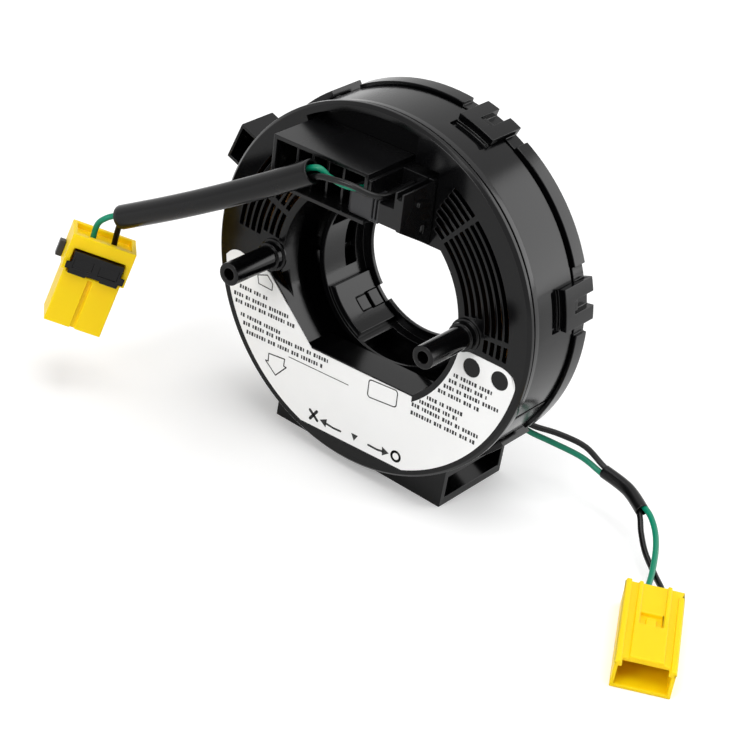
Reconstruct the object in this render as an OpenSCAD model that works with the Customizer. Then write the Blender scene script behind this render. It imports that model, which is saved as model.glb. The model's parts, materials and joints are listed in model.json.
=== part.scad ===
// Steering clock spring: a spiral cable unit that stands on the foot of its housing.
// The row frame has +X to the right, +Y towards the steering column and +Z up, with the
// origin at the centre of the column bore, on the rear face of the unit.
// Most pieces are drawn lying on the rear face, with the height toward the driver as Z,
// and are then stood up by stand() or, if they turn with the wheel, by turned().

/* [Housing] */
// Outer radius of the rim flange of the rear cover, which the drum and the rotor follow
flange_r = 49.9; // [48:0.1:52]
// Distance by which the rim flange stands out from the drum wall
flange_proud = 1; // [0.8:0.1:1.3]
// Thickness of the drum wall
drum_wall = 1.7; // [1.3:0.1:1.9]
// Height of the drum wall from the rim flange to its open front edge
drum_depth = 16; // [15.4:0.2:18]
// Height of the rim flange
flange_depth = 4.5; // [4.1:0.1:4.7]
// Distance from the rear face to the back plate of the cover
cover_rise = 3.2; // [3.1:0.1:3.5]
// Thickness of the back plate of the cover
cover_plate = 1.6; // [1.2:0.1:1.8]
// Depth of the shadow groove between the flange and the drum
groove_depth = 0.9; // [0.5:0.1:1.1]
// Height of the shadow groove
groove_h = 0.9; // [0.6:0.1:1.1]

/* [Snap clips] */
// Number of snap clips around the drum
clip_count = 6; // [6:1:6]
// Angle of the first clip above the right-hand side
clip_start = 15; // [13:1:17]
// Width of a clip along the drum
clip_w = 10.9; // [9:0.1:12]
// Height of the clip above the rear face
clip_top = 14.5; // [13:0.1:15]
// Thickness of a clip
clip_wall = 1.8; // [1.4:0.1:2]
// Width of the slot between the two legs of a clip
clip_slot = 3.5; // [2.8:0.1:4]
// Height of the pocket in the drum in front of each clip
clip_pocket = 3.2; // [2:0.1:4]

/* [Foot] */
// Distance from the lowest point of the rim flange down to the ground
foot_drop = 2.5; // [2.2:0.1:4]
// Left end of the foot, measured from the bore axis
foot_left = 26; // [22:0.5:27]
// Right end of the foot, measured from the bore axis
foot_right = 29.9; // [28.5:0.1:32]
// Distance the foot reaches behind the rear face
foot_behind = 4; // [3:0.1:6]
// Thickness of the ground slab of the foot
foot_slab = 2.4; // [1.8:0.1:2.6]
// Thickness of the upright walls of the foot
foot_wall = 1.9; // [1.4:0.1:2.4]
// Height of the roof of the foot above the ground
foot_h = 11; // [10.6:0.1:12]
// Number of pins in the foot socket
foot_pins = 4; // [1:1:5]

/* [Side socket] */
// Angle of the side socket above the right-hand side
side_angle = 162.5; // [155:0.5:168]
// Distance by which it stands out from the drum wall
side_proud = 9.1; // [7.5:0.1:11]
// Width of the side socket
side_w = 11.3; // [10:0.1:13]
// Thickness of its walls
side_wall = 0.9; // [0.7:0.1:1.1]
// Height of its mouth above the rear face
side_top = 21; // [19:0.1:22]
// Depth of its mouth
side_mouth = 12; // [8:0.1:13]

/* [Rotor] */
// Angle by which the rotor is turned as the part stands
rotor_turn = 3.5; // [-5:0.5:5]
// Height of the rotor face above the rear face
face_h = 29; // [28.6:0.1:31]
// Distance by which the rotor rim stands out from the drum wall
rim_proud = 1.1; // [0.9:0.1:1.6]
// Width of the bevel around the flat front face
rim_bevel = 0.8; // [0.5:0.1:1.2]
// Distance from the edge of the rotor to the field that holds the slots and the label
face_border = 2; // [1.6:0.1:2.3]
// Thickness of the rotor plate
plate_t = 1.8; // [1.4:0.1:2]
// Gap between the rotor rim and the drum wall
rim_gap = 0.4; // [0.3:0.1:0.6]
// Wall of the hub tube
hub_wall = 1.5; // [1.2:0.1:1.6]
// Depth of the thicker front collar of the hub tube behind the rotor face
collar_depth = 6.5; // [5:0.5:8]
// Running gap between the hub tube and the rear cover
hub_gap = 0.4; // [0.3:0.1:0.6]
// Distance of the flat lower edge of the opening from the inside of the hub tube
lower_flat = 6.1; // [5.3:0.1:6.8]
// Distance of the flat upper edge of the opening from the inside of the hub tube
upper_flat = 8.3; // [7.4:0.1:9.2]

/* [Grille] */
// Number of slots from the hub outwards
slot_count = 7; // [4:1:7]
// Distance from the hub tube to the middle of the innermost slot
slot_edge = 1.2; // [1:0.1:1.6]
// Distance from the middle of the outermost slot to the edge of the front face
slot_border = 5; // [4.4:0.1:6]
// Share of the distance from slot to slot that is open
slot_share = 0.62; // [0.45:0.01:0.7]

/* [Posts] */
// Radius of a mounting post
post_r = 3.1; // [2.7:0.1:3.3]
// Radius of the blind hole in a post
post_hole_r = 1.6; // [1:0.1:2]
// Height of the post above the rotor face
post_h = 18; // [14:0.5:20]
// Depth of the blind hole
post_hole_depth = 12; // [8:0.5:14]
// Distance of the middle of a post from the outside of the hub tube
post_edge = 1.3; // [1.1:0.1:1.7]
// Angle of the line through both posts
post_angle = 2.1; // [0:0.1:3]

/* [Hub sleeve] */
// Radius of the column bore, which the sleeve and the hub tube follow
bore_r = 20.6; // [19.5:0.1:22]
// Thickness of the flange around the column bore
bore_flange = 1.2; // [1:0.1:1.4]
// Width of the flange from the bore to the inside of the sleeve
bore_lip = 2.9; // [2.6:0.1:3.3]
// Gap between the sleeve and the front collar of the hub tube
sleeve_gap = 3.1; // [2.7:0.1:3.5]
// Wall of the sleeve
sleeve_wall = 1.7; // [1.3:0.1:1.9]
// Height of the front edge of the sleeve above the rear face
sleeve_top = 17.5; // [16.5:0.1:18]
// Distance by which the flange that holds the rotor reaches out past the hub tube
keeper_proud = 3.2; // [2.7:0.1:3.8]
// Thickness of that flange
keeper_t = 2; // [1.8:0.1:2.4]

/* [Header] */
// Width of the shrouded part of the header
shroud_w = 29.9; // [28:0.1:30]
// Distance of the top of the header from the edge of the front face
header_edge = 8.5; // [8:0.1:9]
// Height of its lower wall above the flat upper edge of the opening
header_lift = 6; // [5.4:0.1:6.4]
// Depth of the header in front of the rotor face
header_front = 14; // [13:0.1:15]
// Thickness of the shroud walls
shroud_wall = 1.1; // [0.9:0.05:1.25]
// Width of the right-hand block beside the shroud
trough_w = 10.7; // [10.3:0.1:11]
// Depth of the seat of the header in the rotor plate
header_seat = 4.5; // [4.3:0.1:4.7]

/* [Leads] */
// Diameter of one wire
wire_d = 1.6; // [1.2:0.05:1.7]
// Outer diameter of the sleeve on the front lead
sleeve_d = 6.5; // [6:0.1:6.8]
// Outer diameter of the tube on the rear lead
shrink_d = 3.7; // [3.5:0.1:4]

/* [Front plug] */
// Width of the hood at the wire end of the front plug
plug_hood_w = 17.4; // [17:0.1:18.5]
// Width of the front plug below the hood
plug_w = 15.6; // [15.2:0.1:16.2]
// Thickness of the front plug
plug_t = 11; // [10.6:0.1:12]
// Length of the front plug
plug_l = 25.4; // [24.5:0.1:28]
// Length of the hood
plug_hood_l = 10; // [9.6:0.1:11]
// Travel of the lock plate
lock_travel = 1; // [0.6:0.1:1.2]

/* [Rear connector] */
// Width of the connector that lies on the ground
conn_w = 15; // [14:0.1:16]
// Length of the connector
conn_l = 35; // [32:0.1:38]
// Height of the connector
conn_h = 8.1; // [7.6:0.1:9]
// Thickness of its walls
conn_wall = 1; // [0.8:0.05:1.1]
// Depth of its mouth
conn_mouth = 13; // [10:0.1:15]

/* [Hidden] */
$fn = 96;

black_gloss = [0.07, 0.07, 0.075];
black_satin = [0.12, 0.12, 0.125];
grey_plastic = [0.3, 0.31, 0.32];
label_white = [0.9, 0.9, 0.9];
plug_yellow = [1, 0.83, 0.1];
wire_green = [0.05, 0.5, 0.38];
tin = [0.75, 0.74, 0.7];
film_clear = [0.75, 0.6, 0.4];

// Overshoot of a cut past the face that it opens
cut = 0.1;
// Clearance between pieces that only sit beside each other
fit = 0.3;

drum_r = flange_r - flange_proud;
rim_r = drum_r + rim_proud;
face_r = rim_r - face_border;
axis_height = flange_r + foot_drop;
side_reach = drum_r + side_proud;
sleeve_r = bore_r + bore_lip;
sleeve_out = sleeve_r + sleeve_wall;
hub_r = sleeve_out + sleeve_gap;
opening_low = hub_r - lower_flat;
opening_high = hub_r - upper_flat;
// Half of the width of the flat lower edge of the opening
opening_half = sqrt(hub_r * hub_r - opening_low * opening_low);
flange_top = cover_rise + flange_depth;
drum_top = flange_top + drum_depth;
drum_in = drum_r - drum_wall;
cover_top = cover_rise + cover_plate;
plate_back = face_h - plate_t;
hub_out = hub_r + hub_wall;
cover_hole_r = hub_out + hub_gap;
keeper_r = hub_out + keeper_proud;
post_reach = hub_out + post_edge;
slot_first = hub_out + slot_edge;
slot_pitch = (face_r - slot_border - slot_first) / (slot_count - 1);
slot_w = slot_share * slot_pitch;
rim_back = drum_top + rim_gap;
rim_in = rim_r - 2.6;
header_high = face_r - header_edge;
header_low = opening_high + header_lift;
header_floor = face_h - header_seat;
header_left = shroud_w - 5.8;
header_right = header_left - 13.1 + 5.5;
shroud_right = shroud_w - header_left;
block_right = shroud_right + trough_w;
header_top = face_h + header_front;
foot_back_h = -foot_behind;
foot_front_h = drum_top - fit;
foot_roof = foot_h - axis_height;

// Height of the pocket in the drum wall for the spigot of the rear cover
spigot_top = flange_top + 0.8;
// Radial play of the flat cable between the hub and the drum
cable_t = 0.4;
cable_block_t = 1.2;
cable_in = hub_out + cable_block_t + 0.35;
cable_out = drum_in - cable_block_t - cable_t - 0.2;
cable_turns = 4.5;
cable_low = cover_top + 0.6;
cable_w = 15;
film_t = 0.3;

// Places of the two cords, in the row frame, chosen by hand
rear_black_route = [[35.6, 0.4, -31.9], [38.6, 2, -32.8], [44, 6, -34], [50.5, 9.5, -36],
                    [57.4, 10.1, -39.3]];
rear_green_route = [[35.6, 0.4, -33.7], [38.4, 1.6, -34.8], [43.5, 5.2, -36.8], [50.6, 8.8, -39],
                    [57.4, 9.3, -40.9]];
rear_shrink_route = [[57.4, 9.7, -40.1], [66, 8.4, -40.7], [73.5, 4.3, -41.5]];
rear_green_tail_route = [[73.9, 4.9, -40.8], [79, 1.6, -42], [83.4, -3.4, -44], [87.4, -10.4, -46.8],
                         [90.3, -17.3, -48.2]];
rear_black_tail_route = [[73.1, 3.7, -42.2], [76.8, -0.2, -44.4], [81.4, -4.4, -46.4],
                         [87.5, -8.4, -48.2], [92, -12, -48.4], [93.8, -15.4, -48.2]];
front_green_route = [[0.9, -31.2, 34.6], [0.9, -40.4, 34.4], [-1.4, -44.1, 34.8], [-6, -45.5, 35.6],
                     [-10.2, -46.9, 36.9]];
front_black_route = [[8, -30.2, 35.5], [8.2, -40, 35.4], [6.6, -44.2, 35.9], [1.4, -46.6, 37.1],
                     [-3.8, -47.6, 36.7], [-9.1, -48, 35.2]];
front_sleeve_route = [[-9.8, -47.5, 36.2], [-21.3, -48.5, 27.9], [-35.4, -49.5, 18.2],
                      [-50.2, -50.2, 8.5], [-65.4, -50.5, -1]];
front_green_tail_route = [[-65.9, -50.7, -0.4], [-69.6, -52, -2.8], [-71.6, -52.6, -5.4],
                          [-72, -53.3, -9.5]];
front_black_tail_route = [[-64.9, -50.3, -1.7], [-66.6, -49.5, -4], [-67.5, -49.1, -6.6],
                          [-67.8, -49.5, -11]];
plug_place = [-69.8, -51, -8.8];
plug_tilt = [-8, 14.5, 41.5];
conn_place = [92.1, -16.4, -52.4];
conn_turn = 29;

// Stands a piece that was drawn lying on its back
module stand() rotate([90, 0, 0]) children();

// Stands a piece of the rotor and turns it to the place where the rotor rests
module turned() stand() rotate([0, 0, rotor_turn]) children();

// Moves the front lead with the header and turns it with the rotor
module with_header() rotate([0, 3.5 - rotor_turn, 0]) translate([0, 29 - face_h, header_low - 26]) children();

// Moves the rear lead with the lead boss and with the ground
module with_boss() translate([flange_r - 49.9, 0, 52.4 - axis_height]) children();

// Ring between two radii and two heights
module ring(out, in, low, high) {
  translate([0, 0, low]) difference() {
    cylinder(r = out, h = high - low);
    translate([0, 0, -cut]) cylinder(r = in, h = high - low + 2 * cut);
  }
}

// Pie slice used to keep or cut a stretch of a ring
module wedge(from, to, reach, low, high) {
  steps = ceil((to - from) / 30);
  translate([0, 0, low]) linear_extrude(high - low) polygon(concat([[0, 0]],
    [for (i = [0:steps]) let (a = from + (to - from) * i / steps) 1.2 * reach * [cos(a), sin(a)]]));
}

// Stretch of a ring from one angle to another
module arc_ring(out, in, low, high, from, to) {
  intersection() {
    ring(out, in, low, high);
    wedge(from, to, out, low - cut, high + cut);
  }
}

// Box from one corner to the opposite one
module block(a, b) translate(a) cube(b - a);

// Cosine and sine of an angle, as a direction in the plane of the face
function dir(a) = [cos(a), sin(a)];

// Half of the angle that a width spans at a radius
function half_angle(width, radius) = asin(width / 2 / radius);

// Curve through the points of a route, with a number of steps between two points
function curve_point(a, b, c, d, t) =
  0.5 * (2 * b + t * (c - a) + t * t * (2 * a - 5 * b + 4 * c - d) + t * t * t * (3 * b - a - 3 * c + d));
function curve(p, steps) = let (last = len(p) - 1) concat(
  [for (i = [0:last - 1]) for (k = [0:steps - 1])
    curve_point(p[max(i - 1, 0)], p[i], p[i + 1], p[min(i + 2, last)], k / steps)],
  [p[last]]);
function unit(v) = v / norm(v);

// Solid tube along a curve, as one ring of points for each point of the curve
module tube(path, diameter, sides, reference) {
  last = len(path) - 1;
  points = [for (i = [0:last])
    let (t = unit(path[min(i + 1, last)] - path[max(i - 1, 0)]),
         side = unit(cross(reference, t)), up = cross(t, side))
    for (j = [0:sides - 1])
      path[i] + diameter / 2 * (cos(360 * j / sides) * side + sin(360 * j / sides) * up)];
  faces = concat(
    [[for (j = [0:sides - 1]) j]],
    [[for (j = [0:sides - 1]) last * sides + sides - 1 - j]],
    [for (i = [0:last - 1]) for (j = [0:sides - 1]) let (k = (j + 1) % sides)
      [i * sides + j, (i + 1) * sides + j, (i + 1) * sides + k]],
    [for (i = [0:last - 1]) for (j = [0:sides - 1]) let (k = (j + 1) % sides)
      [i * sides + j, (i + 1) * sides + k, i * sides + k]]);
  polyhedron(points, faces, convexity = 4);
}

// Places one copy at each snap clip
module at_clips() {
  for (k = [0:clip_count - 1]) rotate([0, 0, clip_start + 360 * k / clip_count]) children();
}

// Drum: the outer wall with its groove, the clip pockets and catches, the foot and the side socket
module drum_wall_ring() {
  rotate_extrude() polygon([
    [drum_in, flange_top],
    [drum_r - groove_depth, flange_top],
    [drum_r - groove_depth, flange_top + groove_h],
    [drum_r, flange_top + groove_h],
    [drum_r, drum_top],
    [drum_in, drum_top]
  ]);
}

module clip_catch() {
  half = half_angle(clip_slot - 2 * fit, drum_r);
  arc_ring(drum_r + 1.5, drum_r - 1, flange_top + groove_h + 0.1, flange_top + groove_h + 1.6, -half, half);
}

module clip_pockets() {
  half = half_angle(clip_w, drum_r);
  arc_ring(drum_r + 1, drum_r - 0.9, clip_top, clip_top + clip_pocket, -half, half);
}

// Groove across the drum wall above the lead channel at the lower right
module channel_groove() {
  arc_ring(drum_r + 1, drum_r - groove_depth, flange_top, drum_top + cut, -20.6, -19.2);
}

module foot_box() {
  difference() {
    block([-foot_left, -axis_height, foot_back_h], [foot_right, foot_roof, foot_front_h]);
    translate([0, 0, foot_back_h - cut]) cylinder(r = drum_in + 0.8, h = foot_front_h - foot_back_h + 2 * cut);
    translate([0, 0, foot_back_h - cut])
      cylinder(r = drum_r + clip_wall + 0.6, h = clip_top + foot_behind + 2 * cut);
    foot_core();
    foot_socket();
  }
}

// Hollow of the left half of the foot, open towards the column
module foot_core() {
  block([foot_wall - foot_left, foot_slab - axis_height, foot_back_h - cut],
        [12 - foot_left, foot_roof - foot_wall, foot_front_h - foot_wall]);
}

// Socket in the right half of the foot, with its mouth facing right
foot_stop = foot_right - 14.4;
foot_socket_low = foot_slab - axis_height;
foot_socket_high = foot_roof - 2.2;
module foot_socket() {
  block([foot_stop, foot_socket_low, 1.5 - foot_behind],
        [foot_right + cut, foot_socket_high, foot_front_h - foot_wall]);
}

module side_box() {
  rotate([0, 0, side_angle]) difference() {
    block([drum_r - 2, -side_w / 2, flange_top + groove_h], [side_reach, side_w / 2, side_top]);
    translate([0, 0, flange_top]) cylinder(r = drum_in + 0.8, h = side_top);
    block([drum_r + side_wall, side_wall - side_w / 2, side_top - side_mouth],
          [side_reach - side_wall, side_w / 2 - side_wall, side_top + cut]);
  }
}

module drum() color(black_gloss) stand() {
  difference() {
    union() {
      drum_wall_ring();
      at_clips() clip_catch();
      foot_box();
      side_box();
    }
    at_clips() clip_pockets();
    channel_groove();
  }
}

// Rear cover: back plate, rim flange, spigot inside the drum, hub collar and the snap clips
module cover_ring() {
  rotate_extrude() polygon([
    [cover_hole_r, cover_rise],
    [flange_r, cover_rise],
    [flange_r, flange_top],
    [drum_in - fit, flange_top],
    [drum_in - fit, spigot_top],
    [drum_in - fit - 0.9, spigot_top],
    [drum_in - fit - 0.9, cover_top],
    [cover_hole_r + 1, cover_top],
    [cover_hole_r + 1, cover_top + film_t],
    [cover_hole_r, cover_top + film_t]
  ]);
}

module clip() {
  half = half_angle(clip_w, drum_r);
  slot_half = half_angle(clip_slot, drum_r);
  clip_in = drum_r + 0.2;
  difference() {
    union() {
      arc_ring(clip_in + clip_wall, clip_in, flange_top, clip_top, -half, half);
      arc_ring(clip_in + clip_wall, drum_r - 0.5, cover_rise - 0.8, flange_top, -half, half);
    }
    arc_ring(clip_in + 3 * clip_wall, clip_in - cut, flange_top, flange_top + groove_h + 2, -slot_half, slot_half);
    arc_ring(clip_in + 3 * clip_wall, drum_r, cover_rise - 1, flange_top + cut, -slot_half, slot_half);
  }
}

module flange_notch() {
  half = half_angle(clip_w, drum_r) + 4.2;
  arc_ring(flange_r + 1, drum_r, cover_rise - cut, flange_top + cut, -half, half);
}

// Lead boss on the back plate, with the hole for the grommet in its right face
boss_right = flange_r - 15.5;
boss_v = 19.6 - axis_height;
boss_h = -0.4;
boss_wall = 1.3;
grommet_r = 2.2;
module lead_boss() {
  half = grommet_r + boss_wall;
  block([boss_right - 7.4, boss_v - half, boss_h - half + 0.3], [boss_right, boss_v + half, cover_rise + cut]);
}

module grommet_hole() {
  translate([boss_right - 3.2, boss_v, boss_h]) rotate([0, 90, 0]) cylinder(r = grommet_r, h = 10);
}

module rear_cover() color(black_gloss) stand() {
  difference() {
    union() {
      difference() {
        cover_ring();
        at_clips() flange_notch();
      }
      at_clips() clip();
      lead_boss();
    }
    grommet_hole();
    block([boss_right - 6.1, boss_v - grommet_r + 0.3, boss_h - 1.8],
          [boss_right - 3, boss_v + grommet_r - 0.3, cover_top + cut]);
  }
}

module slide_film() color(film_clear) stand() {
  ring(drum_in - fit - 1.3, cover_hole_r + 1.3, cover_top, cover_top + film_t);
}

// Block that clamps the outer end of the flat cable to the drum wall
module outer_cable_block() color(black_satin) stand() {
  arc_ring(drum_in, drum_in - cable_block_t, cable_low + 3.5, cable_low + cable_w, 80, 92);
}

// Square pins of the two sockets of the housing
pin_w = 0.64;
foot_pin_l = 5;
module foot_terminals() color(tin) stand() {
  for (i = [0:foot_pins - 1]) translate([foot_stop, foot_socket_low + 1.6, 9 + 3 * i])
    cube([foot_pin_l, pin_w, pin_w]);
}

module side_terminals() color(tin) stand() {
  rotate([0, 0, side_angle]) for (i = [-1, 1]) for (k = [-1, 1])
    translate([(drum_r + side_reach) / 2 + 1.7 * k - pin_w / 2, 2.4 * i - pin_w / 2, side_top - side_mouth])
      cube([pin_w, pin_w, 5]);
}

module lead_grommet() color(black_satin) stand() {
  translate([boss_right - 3.2, boss_v, boss_h]) rotate([0, 90, 0]) cylinder(r = grommet_r - 0.05, h = 3.2);
  translate([boss_right, boss_v, boss_h]) rotate([0, 90, 0]) cylinder(r = grommet_r + 0.4, h = 1.2);
}

// Wires and tubes of the rear lead
module rear_black_wire() color(black_satin) with_boss()
  tube(curve(rear_black_route, 2), wire_d, 8, [0, 0, 1]);
module rear_green_wire() color(wire_green) with_boss()
  tube(curve(rear_green_route, 2), wire_d, 8, [0, 0, 1]);
module rear_shrink_tube() color(black_satin) with_boss()
  tube(curve(rear_shrink_route, 2), shrink_d, 10, [0, 0, 1]);
module rear_black_tail() color(black_satin) with_boss()
  tube(curve(rear_black_tail_route, 2), wire_d, 8, [0, 0, 1]);
module rear_green_tail() color(wire_green) with_boss()
  tube(curve(rear_green_tail_route, 2), wire_d, 8, [0, 0, 1]);

// Yellow connector on the ground, drawn with its mouth towards -Y and then turned
module place_conn() with_boss() translate(conn_place) rotate([0, 0, conn_turn]) children();

conn_key_w = 8.4;
conn_deck = conn_h - 0.7;
module rear_connector() color(plug_yellow) place_conn() {
  difference() {
    union() {
      block([-conn_w / 2, -conn_l, 0], [conn_w / 2, 0, conn_deck]);
      block([-conn_key_w / 2, 2.6 - conn_l, 0], [conn_key_w / 2, 0, conn_h]);
      // Rails along both edges, of which the right-hand one stops short of the wire end
      block([0.1 - conn_w / 2, -conn_l, 0], [1.5 - conn_w / 2, 0, conn_h]);
      block([conn_w / 2 - 1.5, -conn_l, 0], [conn_w / 2 - 0.1, -3.2, conn_h]);
    }
    // Mouth
    block([conn_wall - conn_w / 2, -conn_l - cut, conn_wall],
          [conn_w / 2 - conn_wall, conn_mouth - conn_l, conn_deck - conn_wall]);
    // Cut-back of the roof over the mouth between the two rails
    block([1.8 - conn_w / 2, -conn_l - cut, conn_deck - conn_wall - cut],
          [conn_w / 2 - 1.8, 2.6 - conn_l, conn_h + cut]);
    // Channel along the raised key, from the wire end to the latch window
    block([-3.1, -18, conn_h - 0.6], [3.1, cut, conn_h + cut]);
    block([-2.8, -17.7, conn_h - 1.6], [2.8, -12.4, conn_h]);
  }
  // Latch tongue in the window
  block([-1.3, -17.8, conn_h - 1.7], [1.3, -14, conn_h - 0.8]);
}

module rear_connector_terminals() color(tin) place_conn() {
  for (side = [-1, 1]) translate([2 * side - 0.5, conn_mouth - conn_l - 6, conn_h / 2 - 0.6]) cube([1, 6, 0.6]);
}

// Rotor plate: face, rim, hub tube, posts, grille, seat of the header and the two shelf walls
module plate_ring() {
  rotate_extrude() polygon([
    [opening_high - 0.5, plate_back],
    [rim_in, plate_back],
    [rim_in, rim_back],
    [rim_r - 0.6, rim_back],
    [rim_r - 0.4, rim_back + 2],
    [rim_r - 1, rim_back + 2],
    [rim_r - 1, rim_back + 2.7],
    [rim_r, rim_back + 3],
    [rim_r, face_h - rim_bevel],
    [rim_r - rim_bevel, face_h],
    [opening_high - 0.5, face_h]
  ]);
}

module post(angle) {
  translate([post_reach * cos(angle), post_reach * sin(angle), plate_back]) {
    cylinder(r = post_r, h = plate_t + post_h);
    cylinder(r = post_r + 1.3, h = plate_t + 0.8);
    cylinder(r = post_r + 0.7, h = plate_t + 2.6);
  }
}

module post_hole(angle) {
  translate([post_reach * cos(angle), post_reach * sin(angle), face_h + post_h - post_hole_depth])
    cylinder(r = post_hole_r, h = post_hole_depth + cut);
}

// Outline of the opening in the rotor plate
module opening_outline() {
  intersection() {
    circle(r = hub_r);
    translate([-hub_r - 1, -opening_low]) square([2 * hub_r + 2, opening_low + opening_high]);
  }
}

// Shallow pocket beside the lower left edge of the opening
module side_pocket_outline() {
  polygon([[2.2 - opening_half, -opening_low], [-hub_out - 1.7, -6.6], [-hub_r - 0.2, -4.6], [8.3 - hub_r, -14]]);
}

// Grille slots: right-hand and left-hand stretches with a bar between them
slot_spans = [[5, 47], [49, 60], [140, 156], [159, 176]];
module grille() {
  for (k = [0:slot_count - 1], s = slot_spans) let (r = slot_first + slot_pitch * k,
      near = r < post_reach + post_r + 2.5 ? 8 : 0,
      from = s[0] < 90 ? max(s[0], near + post_angle + 1) : s[0],
      to = s[0] > 90 ? min(s[1], 180 - near + post_angle - 1) : min(s[1], acos((block_right + 1.2) / r)))
    arc_ring(r + slot_w / 2, r - slot_w / 2, plate_back - cut, face_h + cut, from, to);
  // Short stretches below the bar beside the right-hand post
  for (k = [0:slot_count - 1]) let (r = slot_first + slot_pitch * k)
    if (r > post_reach + post_r + 2.5)
      arc_ring(r + slot_w / 2, r - slot_w / 2, plate_back - cut, face_h + cut, -2.5, 3);
}

// Outline of the seat of the header and of the open pocket above it
module seat_outline(grow) {
  translate([-header_left - grow, header_low - 1 - grow])
    square([header_left + block_right + 2 * grow, header_high - header_low + 1 + 2 * grow]);
}

module upper_pocket_outline() {
  intersection() {
    circle(r = face_r - 0.5);
    polygon([
      [-header_left - fit, header_high - 1], [-header_left - 3.9, face_r - 3], [-8, face_r + 4],
      [shroud_right + 3.7, face_r + 4], [shroud_right + 3.2, header_high - 1]
    ]);
  }
}

module rotor_plate() color(black_gloss) turned() {
  difference() {
    union() {
      plate_ring();
      ring(hub_out, hub_r, face_h - collar_depth, plate_back + cut);
      ring(hub_out, hub_r + 0.6, keeper_t, face_h - collar_depth + cut);
      post(post_angle);
      post(180 + post_angle);
      // Floor under the seat of the header and under the pocket above it
      intersection() {
        translate([0, 0, header_floor - 1.2]) linear_extrude(plate_back - header_floor + 1.2 + cut) union() {
          seat_outline(1.5);
          upper_pocket_outline();
        }
        ring(drum_in - 0.5, hub_r + 0.3, 0, face_h);
      }
      // Edge of the pocket between the floor and the rim
      translate([0, 0, rim_back]) linear_extrude(plate_back - rim_back + cut) intersection() {
        upper_pocket_outline();
        circle(r = face_r - 0.5);
      }
      // Floor of the side pocket
      translate([0, 0, plate_back - 2.4]) linear_extrude(2.4 + cut) difference() {
        side_pocket_outline();
        circle(r = hub_r + 0.3);
      }
    }
    translate([0, 0, plate_back - cut]) linear_extrude(plate_t + 2 * cut) opening_outline();
    translate([0, 0, face_h - 3]) linear_extrude(3 + cut) side_pocket_outline();
    grille();
    translate([0, 0, header_floor]) linear_extrude(header_seat + cut) seat_outline(fit / 2);
    translate([0, 0, header_floor]) linear_extrude(header_seat + cut) upper_pocket_outline();
    post_hole(post_angle);
    post_hole(180 + post_angle);
  }
  // Shelf walls along the flat edges of the opening
  intersection() {
    cylinder(r = hub_r + 0.8, h = face_h);
    union() {
      block([-hub_r, -opening_low - 1.2, face_h - 10], [hub_r, -opening_low, plate_back + cut]);
      block([-hub_r, opening_high, header_floor - 1], [hub_r, opening_high + 1.2, plate_back + cut]);
    }
  }
}

// Hub sleeve: bore flange, keeper flange, sleeve wall with its windows, key panel and latch
wall_from = 164;
wall_to = 249;
key_from = 207;
key_to = 245;
latch_from = 220.5;
latch_to = 232;
rib_top = sleeve_top - 5.5;
module hub_sleeve() color(black_gloss) turned() {
  difference() {
    union() {
      ring(sleeve_out, bore_r, 0, bore_flange);
      ring(keeper_r, sleeve_r + 0.5, 0, keeper_t);
      ring(sleeve_out, sleeve_r, 0, 4);
      ring(sleeve_out, sleeve_r, sleeve_top - 1, sleeve_top);
      arc_ring(sleeve_out, sleeve_r, 0, sleeve_top, wall_from, wall_to);
      arc_ring(sleeve_r + 0.2, bore_r + 1.2, 2, sleeve_top - 0.8, key_from, key_to);
      // Ribs that centre the sleeve in the hub tube, and uprights that carry its front ring
      for (k = [0:5]) rotate([0, 0, wall_to - 1 + 60 * k]) {
        block([sleeve_r + 0.2, -0.7, keeper_t - cut], [hub_r + 0.45, 0.7, rib_top]);
        block([sleeve_r + 0.1, -0.7, keeper_t - cut], [sleeve_out - 0.1, 0.7, sleeve_top - 0.2]);
      }
    }
    // Slot around the upper left of the wall
    arc_ring(sleeve_out + cut, sleeve_r - cut, 4.4, 8.8, wall_from + 3, key_from - 8);
    // Slots that free the latch tongue in the key panel, and the window at its end
    arc_ring(sleeve_out + cut, bore_r, bore_flange, 7, latch_from - 0.6, latch_from);
    arc_ring(sleeve_out + cut, bore_r, bore_flange, 7, latch_to, latch_to + 0.6);
    arc_ring(sleeve_out + cut, bore_r, 5.7, 7, latch_from, latch_to);
    arc_ring(bore_r + 1.3, bore_r - cut, -cut, bore_flange + cut, latch_from - 0.6, latch_to + 0.6);
    // Shallow groove around the spring pad in front of the window
    arc_ring(bore_r + 1.5, bore_r, 7, 11, latch_from, latch_from + 0.8);
    arc_ring(bore_r + 1.5, bore_r, 7, 11, latch_to - 0.8, latch_to);
    arc_ring(bore_r + 1.5, bore_r, 10.7, 11, latch_from, latch_to);
  }
}

// Label: printed sheet on the lower half of the rotor face, with two round holes
label_t = 0.2;
label_r = face_r - 0.3;
label_low = 3.4 - face_r;
module label_outline() {
  difference() {
    intersection() {
      translate([0.4, 0]) circle(r = label_r);
      polygon([
        [-face_r, -8.6], [3.8 - face_r, -4.3], [-post_reach - 0.8, -6.8], [2 - opening_half, -opening_low - 0.4],
        [opening_half, -opening_low - 0.4], [opening_half, -2.7], [face_r - 3.4, -3.4], [face_r, -6.2],
        [face_r, label_low], [-face_r, label_low]
      ]);
    }
    intersection() {
      circle(r = hub_out + 0.1);
      translate([opening_half, -hub_out]) square(2 * hub_out);
    }
    for (angle = [0, 180]) translate(post_reach * dir(post_angle + angle)) circle(r = post_r + 1.5);
    translate([hub_out + 0.236 * (face_r - hub_out), -7]) circle(r = 2.6);
    translate([hub_out + 0.711 * (face_r - hub_out), -7]) circle(r = 2.6);
  }
}

module label() color(label_white) turned() {
  translate([0, 0, face_h]) linear_extrude(label_t) label_outline();
}

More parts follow.
